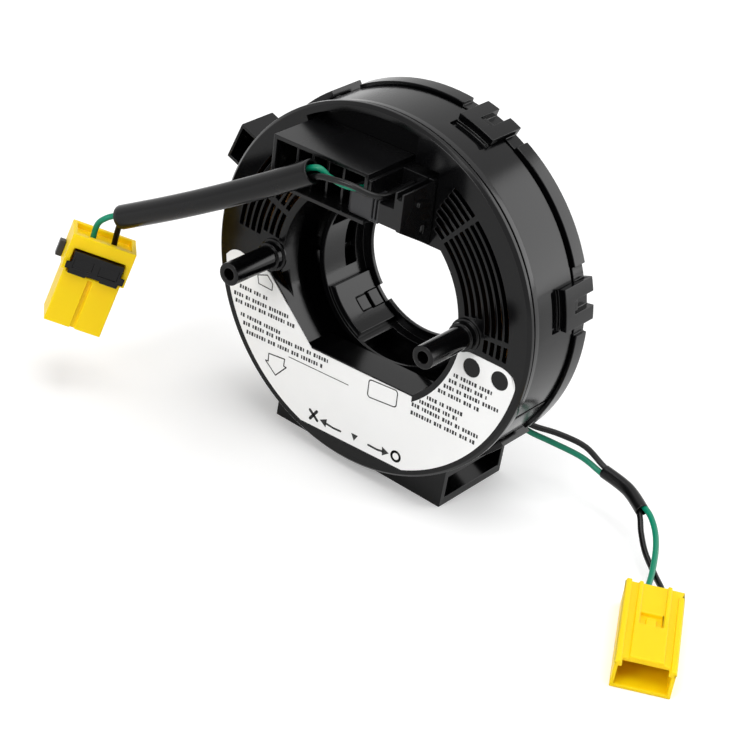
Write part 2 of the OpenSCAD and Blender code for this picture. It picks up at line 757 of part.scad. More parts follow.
// Header: shroud with its ribs, right-hand trough, gusset and seat
rib_pitch = 4.9;
rib_count = 4;
retainer_left = -1;
retainer_right = 9.4;
retainer_low = header_low + shroud_wall;
retainer_high = retainer_low + 6.3;
retainer_back = header_top - 7.2;
module header() color(black_gloss) turned() {
  difference() {
    union() {
      block([-header_left, header_low, header_floor], [shroud_right, header_high, header_top]);
      block([shroud_right - cut, header_low + 2, header_floor], [block_right, header_high - 1.7, header_top - 0.6]);
      block([-header_left, header_low - 1, header_floor], [block_right, header_low + 3, face_h]);
    }
    // Mouth of the shroud
    block([shroud_wall - header_left, header_low + shroud_wall, face_h + 2],
          [shroud_right - shroud_wall, header_high - shroud_wall, header_top + cut]);
    // Trough, open upwards and to the front
    block([shroud_right + 0.8, retainer_high - fit, face_h + 0.6],
          [block_right - 2.6, header_high, header_top]);
    // Groove between the two ridges of the right-hand block
    block([block_right - 2, header_high - 3.6, face_h + 0.6], [block_right - 0.6, header_high, header_top]);
    // Notch for the wire retainer
    block([retainer_left - fit / 2, retainer_low - fit / 2, retainer_back],
          [retainer_right + fit / 2, retainer_high + fit / 2, header_top + cut]);
  }
  for (k = [1:rib_count]) translate([shroud_wall - header_left + rib_pitch * k - 0.8, 0, 0])
    block([0, header_low + shroud_wall - cut, face_h + 2 - cut], [0.8, header_high - shroud_wall + cut, header_top - 3]);
  // Gusset down to the rim of the opening
  difference() {
    translate([block_right - 1.3, 0, 0]) rotate([90, 0, 90]) linear_extrude(1.3) polygon([
      [header_low + 2.3, header_top - 0.6],
      [header_low + 2.3, face_h],
      [opening_high + 0.2, face_h],
      [header_low + 1.6, header_top - 0.6]
    ]);
    translate([block_right - 2, 0, 0]) rotate([90, 0, 90]) linear_extrude(3) {
      translate([header_low - 1.6, face_h + 3.4]) square([2.4, 1.3]);
    }
  }
  // Nub on the right face
  block([block_right - cut, header_low + 6.8, face_h + 6.2], [block_right + 0.7, header_low + 7.9, face_h + 7.4]);
}

module header_terminals() color(tin) turned() {
  for (k = [0:rib_count - 1], row = [0, 1])
    translate([shroud_wall - header_left + rib_pitch * (k + 0.5) - 0.7, header_low + 4.5 + 4.6 * row, face_h + 2])
      cube([pin_w, pin_w, 6]);
}

// Grey block that holds the two front wires down in the header
module wire_retainer() color(grey_plastic) turned() {
  round_r = 2.4;
  difference() {
    union() {
      block([retainer_left, retainer_low, retainer_back],
            [retainer_right, retainer_high, header_top - 1 - round_r]);
      block([retainer_left + round_r, retainer_low, retainer_back], [retainer_right, retainer_high, header_top - 1]);
      translate([retainer_left + round_r, retainer_low, header_top - 1 - round_r]) rotate([-90, 0, 0])
        cylinder(r = round_r, h = retainer_high - retainer_low);
    }
    // Two slits near its right end
    for (k = [0, 1])
      block([retainer_right - 2.2 + 1.1 * k, retainer_low + 0.8, header_top - 2], [retainer_right - 1.8 + 1.1 * k,
            retainer_high + cut, header_top]);
  }
}

// Block that clamps the inner end of the flat cable to the hub tube
module inner_cable_block() color(black_satin) turned() {
  arc_ring(hub_out + cable_block_t, hub_out, cable_low + 1, cable_low + cable_w, 258, 274);
}

// Flat cable: an open spiral from the hub block to the drum block
module flat_cable() color(film_clear) stand() {
  steps = 36;
  count = steps * cable_turns;
  start = 90 - 360 * cable_turns;
  translate([0, 0, cable_low]) linear_extrude(cable_w) polygon(concat(
    [for (i = [0:count]) (cable_in + (cable_out - cable_in) * i / count) * dir(start + 360 * i / steps)],
    [for (i = [count:-1:0])
      (cable_in + cable_t + (cable_out - cable_in) * i / count) * dir(start + 360 * i / steps)]));
}

// Wires and sleeve of the front lead
module front_black_wire() color(black_satin) with_header()
  tube(curve(front_black_route, 2), wire_d, 8, [0, 0, 1]);
module front_green_wire() color(wire_green) with_header()
  tube(curve(front_green_route, 2), wire_d, 8, [0, 0, 1]);
module front_sleeve() color(black_satin) with_header()
  tube(curve(front_sleeve_route, 2), sleeve_d, 12, [0, 1, 0]);
module front_black_tail() color(black_satin) with_header()
  tube(curve(front_black_tail_route, 1), wire_d, 8, [0, 1, 0]);
module front_green_tail() color(wire_green) with_header()
  tube(curve(front_green_tail_route, 1), wire_d, 8, [0, 1, 0]);

// Yellow plug at the end of the front lead, drawn hanging from its wire end with its front towards -Y
module place_plug() with_header() translate(plug_place) rotate(plug_tilt) children();

lock_w = 13.6;
lock_h = 6.3;
lock_top = 4;
lock_proud = 1.2;
lock_deep = 1.4;
seal_recess = 1.6;
module front_plug() color(plug_yellow) place_plug() {
  difference() {
    union() {
      block([-plug_hood_w / 2, -plug_t / 2, -plug_hood_l], [plug_hood_w / 2, plug_t / 2, 0]);
      block([-plug_w / 2, 0.5 - plug_t / 2, -plug_l], [plug_w / 2, plug_t / 2 - 0.5, -1.6]);
    }
    // Recess of the wire seals in the top of the hood
    block([1.2 - plug_hood_w / 2, 2 - plug_t / 2, -seal_recess], [plug_hood_w / 2 - 1.2, plug_t / 2 - 1.5, cut]);
    // Mating mouth at the lower end
    block([1 - plug_w / 2, 1.5 - plug_t / 2, -plug_l - cut], [plug_w / 2 - 1, plug_t / 2 - 1.5, 10 - plug_l]);
    // Pocket of the lock plate
    block([-lock_w / 2 - fit, -plug_t / 2 - cut, -lock_top - lock_h - fit],
          [lock_w / 2 + fit, lock_deep + lock_travel + fit / 2 - plug_t / 2, fit - lock_top]);
    // Groove down the front face
    block([-0.6, -plug_t / 2 - cut, -plug_l - cut], [0.6, 0.9 + 0.5 - plug_t / 2, -lock_top - lock_h - 1]);
  }
}

module plug_lock() color(black_satin) place_plug() {
  difference() {
    union() {
      block([-lock_w / 2, -plug_t / 2 - lock_proud, -lock_top - lock_h], [lock_w / 2, lock_deep - plug_t / 2, -lock_top]);
      block([-lock_w / 2 - 1.2, -plug_t / 2 - lock_proud, -lock_top - lock_h + 1.2],
            [lock_w / 2 + 1.2, -plug_t / 2 - lock_travel - 0.1, -lock_top - lock_h + 3.2]);
    }
    for (side = [-1, 1]) translate([side * 3.5 - 2.6, -plug_t / 2 - lock_proud - cut, -lock_top - 4.6])
      cube([5.2, 0.5 + cut, 3]);
    // Gap in the middle of the lower edge, over the groove of the plug
    block([-1.9, -plug_t / 2 - lock_proud - cut, -lock_top - lock_h - cut], [1.9, -plug_t / 2, -lock_top - lock_h + 0.9]);
  }
}

module plug_latch() color(grey_plastic) place_plug() {
  block([-plug_hood_w / 2 - 1.7, 1.4, -9.8], [-plug_hood_w / 2, 3.8, -5.4]);
}

module plug_terminals() color(tin) place_plug() {
  for (side = [-1, 1]) translate([3.3 * side - 0.8, -0.4, 10 - plug_l - 6]) cube([1.6, 0.8, 6]);
}

drum();
rear_cover();
slide_film();
outer_cable_block();
foot_terminals();
side_terminals();
lead_grommet();
rear_black_wire();
rear_green_wire();
rear_shrink_tube();
rear_black_tail();
rear_green_tail();
rear_connector();
rear_connector_terminals();
rotor_plate();
hub_sleeve();
label();
header();
header_terminals();
wire_retainer();
inner_cable_block();
flat_cable();
front_black_wire();
front_green_wire();
front_sleeve();
front_black_tail();
front_green_tail();
front_plug();
plug_lock();
plug_latch();
plug_terminals();
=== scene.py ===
# %% [markdown]
# # A steering clock spring, dressed for its picture
# A clock spring sits behind a steering wheel. A flat cable is wound inside its drum, so that
# the airbag and the switches on the wheel stay wired while the wheel turns.
# The solids come from CAD. This lesson gives them their soft moulded edges, their materials,
# the two wire leads and the printing on the label, and then lights them for a photograph.

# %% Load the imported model
import json
import math

import bmesh
import bpy
from mathutils import Matrix, Vector

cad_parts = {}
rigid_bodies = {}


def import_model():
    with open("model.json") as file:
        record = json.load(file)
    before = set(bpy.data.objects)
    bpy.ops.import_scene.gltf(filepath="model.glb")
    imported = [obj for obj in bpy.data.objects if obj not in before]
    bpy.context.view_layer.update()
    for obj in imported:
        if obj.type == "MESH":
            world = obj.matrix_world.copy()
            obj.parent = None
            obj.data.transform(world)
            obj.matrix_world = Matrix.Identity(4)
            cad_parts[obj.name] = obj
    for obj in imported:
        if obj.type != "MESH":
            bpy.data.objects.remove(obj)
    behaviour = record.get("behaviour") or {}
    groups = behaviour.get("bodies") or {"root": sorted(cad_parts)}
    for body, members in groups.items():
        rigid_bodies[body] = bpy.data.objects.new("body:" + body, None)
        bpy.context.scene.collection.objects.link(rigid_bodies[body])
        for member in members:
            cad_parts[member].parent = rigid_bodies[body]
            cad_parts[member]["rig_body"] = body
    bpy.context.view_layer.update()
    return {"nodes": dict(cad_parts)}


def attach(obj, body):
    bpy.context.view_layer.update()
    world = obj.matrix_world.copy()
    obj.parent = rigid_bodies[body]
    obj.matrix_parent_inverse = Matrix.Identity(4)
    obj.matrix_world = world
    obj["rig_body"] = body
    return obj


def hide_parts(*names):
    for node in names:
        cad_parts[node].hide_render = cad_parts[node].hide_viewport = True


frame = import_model()
bodies = {name: node["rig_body"] for name, node in frame["nodes"].items()}

# %% [markdown]
# ## Units and places
# Blender works in metres and the part is drawn in millimetres, so one helper converts.
# The rotor rests turned by 3.5 degrees. A second helper takes a point on it, as (right, up,
# height above the rear face), to the standing frame. So a mark on the label can be placed as
# if the rotor stood straight, which is easier to measure.

# %% Helpers for places
ROTOR_TURN = math.radians(3.5)
GROUND = -0.0524  # metres: the ground under the foot
FACE = 29.0  # millimetres: the rotor face above the rear face


def mm(point):
    return Vector(point) / 1000


def on_rotor(right, up, height):
    return mm((right * math.cos(ROTOR_TURN) - up * math.sin(ROTOR_TURN), -height,
               right * math.sin(ROTOR_TURN) + up * math.cos(ROTOR_TURN)))


def add_object(name, data):
    thing = bpy.data.objects.new(name, data)
    bpy.context.scene.collection.objects.link(thing)
    return thing


print("centre of the rotor face:", on_rotor(0, 0, FACE)[:])

# %% [markdown]
# ## The camera
# The photograph was taken with a long lens, from the front right and about 30 degrees above.
# The place and the lens were worked out from the round rims of the part, which show how far
# the ellipses are squeezed and how much nearer ones look larger. The camera is turned by
# naming its own right and up directions, so no angle has to be read off.

# %% Camera
LENS_MM = 123.39
CAMERA_PLACE = (0.31516, -0.50372, 0.31762)
CAMERA_RIGHT = Vector((0.77293, 0.61466, 0.15740))
CAMERA_UP = Vector((-0.42889, 0.32332, 0.84352))

camera_data = bpy.data.cameras.new("camera")
camera_data.sensor_width = 36
camera_data.lens = LENS_MM
camera_data.clip_start = 0.01
camera = add_object("camera", camera_data)
camera_turn = Matrix((CAMERA_RIGHT, CAMERA_UP, CAMERA_RIGHT.cross(CAMERA_UP))).transposed()
camera.matrix_world = Matrix.Translation(CAMERA_PLACE) @ camera_turn.to_4x4()
bpy.context.scene.camera = camera
bpy.context.scene.view_settings.view_transform = "Standard"
print("camera", round(camera.location.length, 3), "m from the bore")

# %% [markdown]
# ## One way to add a shader node
# A material is a small network. One function adds a node, sets its values and links its
# inputs. A second one turns a hex colour, as a colour picker shows it, into linear light, and
# a third one gives an empty material to start from.

# %% Helpers for materials
def add(tree, kind, settings=None, links=None):
    node = tree.nodes.new(kind)
    for key, value in (settings or {}).items():
        if hasattr(node, key):
            setattr(node, key, value)
        else:
            node.inputs[key].default_value = value
    for socket, source in (links or {}).items():
        tree.links.new(source, node.inputs[socket])
    return node


def linear(code):
    channels = [int(code[i:i + 2], 16) / 255 for i in (1, 3, 5)]
    return tuple(c / 12.92 if c <= 0.04045 else ((c + 0.055) / 1.055) ** 2.4
                 for c in channels) + (1,)


def empty_material(name):
    material = bpy.data.materials.new(name)
    material.use_nodes = True
    material.node_tree.nodes.clear()
    return material, material.node_tree


print("mid grey is", round(linear("#808080")[0], 3), "in linear light")

# %% [markdown]
# ## Moulded plastics
# Every housing here is injection moulded. Up close the surface copies the tool: a very fine
# grain, and broad patches where the plastic cooled at another speed and shines a little
# differently. Both come from noise on Object coordinates, so they stay with the piece. An
# image could show the same, but it would need unwrapping and would blur up close.
# The grain is 0.3 to 0.8 mm wide, coarser than the real one, so that it shows at all.

# %% A function for a moulded finish
PATCH_MM = 18
FIRST_COLOUR, SECOND_COLOUR, MIXED_COLOUR = 6, 7, 2  # the colour sockets of a mix node


def moulded(name, colour, second, rough, spread, grain_mm, depth_mm, ior=1.5):
    material, tree = empty_material(name)
    where = add(tree, "ShaderNodeTexCoord")
    grain = add(tree, "ShaderNodeTexNoise", {"Scale": 1000 / grain_mm, "Detail": 3.0},
                {"Vector": where.outputs["Object"]})
    patches = add(tree, "ShaderNodeTexNoise", {"Scale": 1000 / PATCH_MM, "Detail": 2.0},
                  {"Vector": where.outputs["Object"]})
    tone = add(tree, "ShaderNodeMix", {"data_type": "RGBA"}, {0: patches.outputs["Fac"]})
    tone.inputs[FIRST_COLOUR].default_value = linear(colour)
    tone.inputs[SECOND_COLOUR].default_value = linear(second)
    shine = add(tree, "ShaderNodeMapRange", {"To Min": rough - spread, "To Max": rough + spread},
                {"Value": patches.outputs["Fac"]})
    relief = add(tree, "ShaderNodeBump", {"Strength": 0.6, "Distance": depth_mm / 1000},
                 {"Height": grain.outputs["Fac"]})
    shader = add(tree, "ShaderNodeBsdfPrincipled", {"IOR": ior}, {
        "Base Color": tone.outputs[MIXED_COLOUR], "Roughness": shine.outputs["Result"],
        "Normal": relief.outputs["Normal"]})
    add(tree, "ShaderNodeOutputMaterial", {}, {"Surface": shader.outputs["BSDF"]})
    return material


print("patches are", PATCH_MM, "mm wide")

# %% [markdown]
# ## Which plastic is which
# A solid block of polyester or nylon has an IOR near 1.55. The black pieces of the photograph
# mirror the white room less than that, so their IOR was lowered until their dark sides
# matched. The roughness tells them apart: polished, blasted, or matt.

# %% The black and grey plastics
# Glass-filled polyester, pigmented black and moulded in a polished tool: a hard, clear shine.
black_polyester = moulded("black_polyester_polished", "#030304", "#060607", rough=0.17,
                          spread=0.05, grain_mm=0.5, depth_mm=0.002, ior=1.31)
# The header is the same plastic from a slightly blasted tool, so its shine is broader.
black_satin = moulded("black_polyester_blasted", "#070708", "#0D0D0E", rough=0.27,
                      spread=0.05, grain_mm=0.4, depth_mm=0.004, ior=1.36)
# The grommet is black nylon, and looks duller.
black_nylon = moulded("black_nylon", "#0A0A0B", "#121213", rough=0.4,
                      spread=0.04, grain_mm=0.4, depth_mm=0.005, ior=1.42)
# The retainer and the plug's side lever are dark grey nylon.
grey_nylon = moulded("grey_nylon", "#242426", "#2C2C2E", rough=0.45,
                     spread=0.04, grain_mm=0.4, depth_mm=0.006, ior=1.4)
print("black and grey:", [m.name for m in (black_polyester, black_satin, black_nylon, grey_nylon)])

# %% The yellow plastic
# Airbag plugs are yellow polyester. It is a little waxy: some light goes in, red and green
# further than blue, and comes out again, which lightens the shaded sides.
yellow_polyester = moulded("yellow_polyester", "#FFD000", "#FFD606", rough=0.42,
                           spread=0.04, grain_mm=0.6, depth_mm=0.006, ior=1.32)
waxy = {"Subsurface Weight": 0.4, "Subsurface Radius": (1.0, 0.8, 0.1),
        "Subsurface Scale": 0.003}
for socket, value in waxy.items():
    yellow_polyester.node_tree.nodes["Principled BSDF"].inputs[socket].default_value = value
print(yellow_polyester.name, "with", waxy)

# %% The vinyls and the films
# Soft vinyl on the wires: smooth, with a broad highlight.
black_vinyl = moulded("black_vinyl", "#050505", "#0A0A0B", rough=0.28,
                      spread=0.05, grain_mm=0.3, depth_mm=0.004, ior=1.34)
green_vinyl = moulded("green_vinyl", "#00795A", "#04886A", rough=0.34,
                      spread=0.05, grain_mm=0.3, depth_mm=0.004, ior=1.36)
# The sleeve is thicker vinyl, and its shine varies more along its length.
sleeve_vinyl = moulded("black_sleeve_vinyl", "#050506", "#0A0A0B", rough=0.26,
                       spread=0.06, grain_mm=0.5, depth_mm=0.006, ior=1.3)
# The label is white polyester film, satin on top, printed with a matt black ink.
label_film = moulded("white_label_film", "#EFEFEE", "#F6F6F5", rough=0.42,
                     spread=0.03, grain_mm=0.8, depth_mm=0.003)
label_ink = moulded("black_label_ink", "#0B0B0B", "#111111", rough=0.5,
                    spread=0.03, grain_mm=0.3, depth_mm=0.002)
# The flat cable and the slide film are amber polyester film.
amber_film = moulded("amber_film", "#9A6A35", "#A87840", rough=0.3,
                     spread=0.04, grain_mm=0.5, depth_mm=0.002)
print("vinyls:", [m.name for m in (black_vinyl, green_vinyl, sleeve_vinyl)])
print("films and ink:", [m.name for m in (label_film, label_ink, amber_film)])

# %% [markdown]
# ## Tinned pins
# Terminals are stamped from brass strip and tinned. Tin is a soft, slightly dull metal with
# fine lines along the strip, so the noise is stretched along one direction. The lines are
# drawn about 0.3 mm wide, coarser than the real ones, so that they show.

# %% Tin
tin, tree = empty_material("tinned_brass")
where = add(tree, "ShaderNodeTexCoord")
stretched = add(tree, "ShaderNodeMapping", {"Scale": (900, 200, 900)},
                {"Vector": where.outputs["Object"]})
lines = add(tree, "ShaderNodeTexNoise", {"Scale": 4.0, "Detail": 2.0},
            {"Vector": stretched.outputs["Vector"]})
shine = add(tree, "ShaderNodeMapRange", {"To Min": 0.22, "To Max": 0.38},
            {"Value": lines.outputs["Fac"]})
shader = add(tree, "ShaderNodeBsdfPrincipled",
             {"Base Color": linear("#CFCBC2"), "Metallic": 1.0},
             {"Roughness": shine.outputs["Result"]})
add(tree, "ShaderNodeOutputMaterial", {}, {"Surface": shader.outputs["BSDF"]})
print("tin has", len(tree.nodes), "nodes")

# %% [markdown]
# ## Soft edges on the mouldings
# No moulded edge is knife sharp. The rounding could be modelled in CAD, but it would make the
# solids heavy. Here a copy of each CAD mesh is merged, its flat faces are made whole again,
# and a small bevel rounds the edges. Weighted normals keep the flats flat and let only the
# rounded edge catch the light. The copy then stands for the CAD node.

# %% A whole copy of a CAD node
MERGE = 2e-5  # metres: corners nearer than this are one corner
FLAT = math.radians(1)  # faces that meet at less than this are one face


def whole_copy(node):
    shape = bmesh.new()
    shape.from_mesh(frame["nodes"][node].data)
    bmesh.ops.remove_doubles(shape, verts=shape.verts, dist=MERGE)
    bmesh.ops.dissolve_limit(shape, angle_limit=FLAT, verts=shape.verts, edges=shape.edges,
                             use_dissolve_boundaries=False)
    return shape


trial = whole_copy("drum")
print("the drum has", len(frame["nodes"]["drum"].data.polygons), "triangles in CAD and",
      len(trial.faces), "whole faces")
trial.free()

# %% Dress a CAD node
def dress(node, material, edge_mm):
    shape = whole_copy(node)
    bmesh.ops.triangulate(shape, faces=[f for f in shape.faces if len(f.verts) > 4])
    print(node, "surface", round(1e6 * sum(f.calc_area() for f in shape.faces)), "mm2")
    mesh = bpy.data.meshes.new(node + "_moulding")
    shape.to_mesh(mesh)
    shape.free()
    for name in ("custom_normal", "sharp_edge", "sharp_face"):
        if name in mesh.attributes:
            mesh.attributes.remove(mesh.attributes[name])
    mesh.shade_smooth()
    mesh.materials.clear()
    mesh.materials.append(material)
    piece = add_object(node + "_moulding", mesh)
    bevel = piece.modifiers.new("soft_edges", "BEVEL")
    bevel.width = edge_mm / 1000
    bevel.segments = 2
    bevel.limit_method = "ANGLE"
    bevel.angle_limit = math.radians(35)
    bevel.use_clamp_overlap = False
    bevel.miter_outer = "MITER_ARC"
    weighted = piece.modifiers.new("flat_faces", "WEIGHTED_NORMAL")
    weighted.keep_sharp = True
    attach(piece, bodies[node])
    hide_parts(node)
    return piece


# %% The housing
dress("drum", black_polyester, edge_mm=0.22)
dress("rear_cover", black_polyester, edge_mm=0.18)
dress("lead_grommet", black_nylon, edge_mm=0.2)

# %% The rotor
dress("rotor_plate", black_polyester, edge_mm=0.14)
dress("hub_sleeve", black_polyester, edge_mm=0.16)
dress("header", black_satin, edge_mm=0.18)
dress("wire_retainer", grey_nylon, edge_mm=0.35)

# %% The plugs
plug = dress("front_plug", yellow_polyester, edge_mm=0.25)
lock = dress("plug_lock", black_polyester, edge_mm=0.18)
lever = dress("plug_latch", grey_nylon, edge_mm=0.2)
connector = dress("rear_connector", yellow_polyester, edge_mm=0.25)

# %% [markdown]
# ## The pieces that are right as they are
# Pins, film and clamp blocks are plain in reality too. They keep their CAD mesh and only get
# their material.

# %% Carried-over nodes
plain = {
    "foot_terminals": tin, "side_terminals": tin, "header_terminals": tin,
    "rear_connector_terminals": tin, "plug_terminals": tin,
    "slide_film": amber_film, "flat_cable": amber_film,
    "outer_cable_block": black_nylon, "inner_cable_block": black_nylon,
}
for node, material in plain.items():
    data = frame["nodes"][node].data
    data.materials.clear()
    data.materials.append(material)
print("carried over:", len(plain), "nodes")

# %% [markdown]
# ## The wires
# Each lead has two insulated wires of 1.6 mm, one black and one green. A wire is a curve with
# a round bevel, because a curve keeps a length that can be measured. Its points are the route
# from CAD, joined inside the sleeve or the tube, because a real wire runs on through it. A
# Catmull-Rom curve passes smoothly through them.

# %% Helpers for curves
def smooth(points, steps):
    last = len(points) - 1
    path = []
    for i in range(last):
        a, b, c, d = (Vector(points[max(0, min(last, i + k))]) for k in (-1, 0, 1, 2))
        for k in range(steps):
            t = k / steps
            path.append(0.5 * (2 * b + t * (c - a) + t * t * (2 * a - 5 * b + 4 * c - d)
                               + t ** 3 * (3 * b - a - 3 * c + d)))
    return [mm(point) for point in path + [Vector(points[last])]]


def path_length(path):
    return sum((b - a).length for a, b in zip(path, path[1:]))


def round_curve(name, path, diameter_mm, material, sides, caps):
    data = bpy.data.curves.new(name, "CURVE")
    data.dimensions = "3D"
    data.bevel_depth = diameter_mm / 2000
    data.bevel_resolution = sides
    data.use_fill_caps = caps
    spline = data.splines.new("POLY")
    spline.points.add(len(path) - 1)
    for point, place in zip(spline.points, path):
        point.co = (*place, 1)
    spline.use_smooth = True
    data.materials.append(material)
    return add_object(name, data)


corner = smooth([(0, 0, 0), (10, 0, 0), (10, 10, 0)], 6)
print("a corner of 20 mm becomes a bend of", round(1000 * path_length(corner), 1), "mm")

# %% A wire
WIRE_MM = 1.6


def wire(name, points, material, body, nodes):
    path = smooth(points, 6)
    piece = round_curve(name, path, WIRE_MM, material, sides=5, caps=True)
    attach(piece, body)
    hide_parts(*nodes)
    long = path_length(path)
    print(name, round(1000 * long, 1), "mm")
    return piece, long


def beside(points, offset):
    return [tuple(a + b for a, b in zip(p, offset)) for p in points]


print("wires of", WIRE_MM, "mm")

# %% Routes of the front lead, in millimetres
front_sleeve_route = [(-9.8, -47.5, 36.2), (-21.3, -48.5, 27.9), (-35.4, -49.5, 18.2),
                      (-50.2, -50.2, 8.5), (-65.4, -50.5, -1)]
front_green_route = [(0.9, -31.2, 34.6), (0.9, -40.4, 34.4), (-1.4, -44.1, 34.8),
                     (-6, -45.5, 35.6), (-10.2, -46.9, 36.9)]
front_black_route = [(8, -30.2, 35.5), (8.2, -40, 35.4), (6.6, -44.2, 35.9),
                     (1.4, -46.6, 37.1), (-3.8, -47.6, 36.7), (-9.1, -48, 35.2)]
front_green_tail_route = [(-65.9, -50.7, -0.4), (-69.6, -52, -2.8), (-71.6, -52.6, -5.4),
                          (-72, -53.3, -9.5)]
front_black_tail_route = [(-64.9, -50.3, -1.7), (-66.6, -49.5, -4), (-67.5, -49.1, -6.6),
                          (-67.8, -49.5, -11)]
in_sleeve = front_sleeve_route[1:-1]
print("points inside the front sleeve:", len(in_sleeve))

# %% Routes of the rear lead, in millimetres
rear_black_route = [(35.6, 0.4, -31.9), (38.6, 2, -32.8), (44, 6, -34), (50.5, 9.5, -36),
                    (57.4, 10.1, -39.3)]
rear_green_route = [(35.6, 0.4, -33.7), (38.4, 1.6, -34.8), (43.5, 5.2, -36.8),
                    (50.6, 8.8, -39), (57.4, 9.3, -40.9)]
rear_shrink_route = [(57.4, 9.7, -40.1), (66, 8.4, -40.7), (73.5, 4.3, -41.5)]
rear_green_tail_route = [(73.9, 4.9, -40.8), (79, 1.6, -42), (83.4, -3.4, -44),
                         (87.4, -10.4, -46.8), (90.3, -17.3, -48.2)]
rear_black_tail_route = [(73.1, 3.7, -42.2), (76.8, -0.2, -44.4), (81.4, -4.4, -46.4),
                         (87.5, -8.4, -48.2), (92, -12, -48.4), (93.8, -15.4, -48.2)]
black_in_tube, green_in_tube = (66, 9.2, -40.4), (66, 7.6, -41)
print("rear lead from", rear_black_route[0], "to", rear_black_tail_route[-1])

# %% The front wires
front_black, black_long = wire(
    "front_black_lead",
    front_black_route + beside(in_sleeve, (0.6, -0.1, -0.9)) + front_black_tail_route,
    black_vinyl, "rotor", ["front_black_wire", "front_black_tail"])
front_green, green_long = wire(
    "front_green_lead",
    front_green_route + beside(in_sleeve, (-0.45, 0.1, 0.65)) + front_green_tail_route,
    green_vinyl, "rotor", ["front_green_wire", "front_green_tail"])

# %% [markdown]
# ## The sleeve and the shrink tube
# A stiff vinyl sleeve of 6.5 mm holds the two front wires together. A heat-shrink tube of
# 3.7 mm does the same on the rear lead. Their ends are cut square and open, and show the wall
# and the wires inside. So the curve has no caps, is made a mesh, and Solidify gives it a wall.

# %% A tube with open ends
SLEEVE_MM, SLEEVE_WALL_MM = 6.5, 0.7
SHRINK_MM, SHRINK_WALL_MM = 3.7, 0.3
CUT_EDGE_MM = 0.12


def tube(name, points, diameter_mm, wall_mm, material, body, nodes):
    path = smooth(points, 8)
    line = round_curve(name + "_line", path, diameter_mm, material, sides=8, caps=False)
    solid_line = line.evaluated_get(bpy.context.evaluated_depsgraph_get())
    mesh = bpy.data.meshes.new_from_object(solid_line)
    bpy.data.objects.remove(line)
    skin = add_object(name, mesh)
    mesh.shade_smooth()
    wall = skin.modifiers.new("wall", "SOLIDIFY")
    wall.thickness = wall_mm / 1000
    wall.offset = -1
    rim = skin.modifiers.new("cut_ends", "BEVEL")
    rim.width = CUT_EDGE_MM / 1000
    rim.segments = 2
    rim.limit_method = "ANGLE"
    rim.angle_limit = math.radians(50)
    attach(skin, body)
    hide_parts(*nodes)
    long = path_length(path)
    print(name, round(1000 * long, 1), "mm")
    return skin, long, path


# %% The front sleeve
sleeve, sleeve_long, sleeve_path = tube(
    "front_sleeve_tube", front_sleeve_route, SLEEVE_MM, SLEEVE_WALL_MM, sleeve_vinyl, "rotor",
    ["front_sleeve"])

# %% The rear wires and their tube
rear_black, rear_black_long = wire(
    "rear_black_lead", rear_black_route + [black_in_tube] + rear_black_tail_route,
    black_vinyl, "stator", ["rear_black_wire", "rear_black_tail"])
rear_green, rear_green_long = wire(
    "rear_green_lead", rear_green_route + [green_in_tube] + rear_green_tail_route,
    green_vinyl, "stator", ["rear_green_wire", "rear_green_tail"])
shrink = tube(
    "rear_shrink", rear_shrink_route, SHRINK_MM, SHRINK_WALL_MM, black_vinyl, "stator",
    ["rear_shrink_tube"])[0]

# %% [markdown]
# ## What the leads are
# The shrink tube is a piece on the rear lead.

print("the shrink tube sits on the rear lead")

# %% [markdown]
# ## The label
# The label is a film, die-cut with rounded corners. The CAD solid has the outline with sharp
# corners, so the film is a copy of it: the upright edges near each outer corner are picked by
# their place, and bevelled.

# %% Label film
CORNER_REACH = 0.0012  # metres: how near to a corner its upright edge is looked for
CORNER_ROUND = 0.0022  # metres

film_shape = whole_copy("label")
corners = [on_rotor(right, up, FACE)
           for right, up in ((-44.2, -4.3), (44.6, -3.4), (47.2, -5.8), (30, -2.9))]


def at_a_corner(edge):
    foot, head = (vert.co for vert in edge.verts)
    upright = abs((foot - head).normalized().y) > 0.99
    return upright and any((foot - c).xz.length < CORNER_REACH for c in corners)


picked = [edge for edge in film_shape.edges if at_a_corner(edge)]
bmesh.ops.bevel(film_shape, geom=picked, offset=CORNER_ROUND, segments=6, affect="EDGES",
                profile=0.5, material=-1)
film_mesh = bpy.data.meshes.new("label_film")
film_shape.to_mesh(film_mesh)
film_shape.free()
film_mesh.materials.clear()
film_mesh.materials.append(label_film)
film = add_object("label_film", film_mesh)
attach(film, "rotor")
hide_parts("label")
print("upright edges bevelled:", len(picked))

# %% [markdown]
# ## The printing
# The printing is plain: marks for the turning sense and the middle position, three outlined
# shapes, and rows of blocks. It could be an image, but faces stay sharp at any distance.
# Ink is thinner than anything else here, so each mark is a flat face 0.03 mm above the film.
# A mark starts as a circle with as many corners as it needs, or as a strip between two
# points, and is moved to its place on the rotor.

# %% Helpers for printing
INK_HEIGHT = FACE + 0.23  # millimetres: the film's 0.2 mm and 0.03 mm more


def place_mark(shape, verts, right_mm, up_mm, turn=0.0):
    bmesh.ops.rotate(shape, cent=(0, 0, 0), verts=verts,
                     matrix=Matrix.Rotation(math.radians(turn), 3, "Z"))
    bmesh.ops.translate(shape, vec=(right_mm, up_mm, 0), verts=verts)


def disc(shape, right_mm, up_mm, radius_mm, corners=8, turn=0.0):
    made = bmesh.ops.create_circle(shape, cap_ends=True, segments=corners, radius=radius_mm)
    place_mark(shape, made["verts"], right_mm, up_mm, turn)


def strip(shape, a, b, width_mm):
    a, b = Vector((*a, 0)), Vector((*b, 0))
    made = bmesh.ops.create_grid(shape, x_segments=1, y_segments=1, size=0.5)
    bmesh.ops.scale(shape, vec=((b - a).length, width_mm, 1), verts=made["verts"])
    middle, turn = (a + b) / 2, math.atan2((b - a).y, (b - a).x)
    place_mark(shape, made["verts"], middle.x, middle.y, math.degrees(turn))


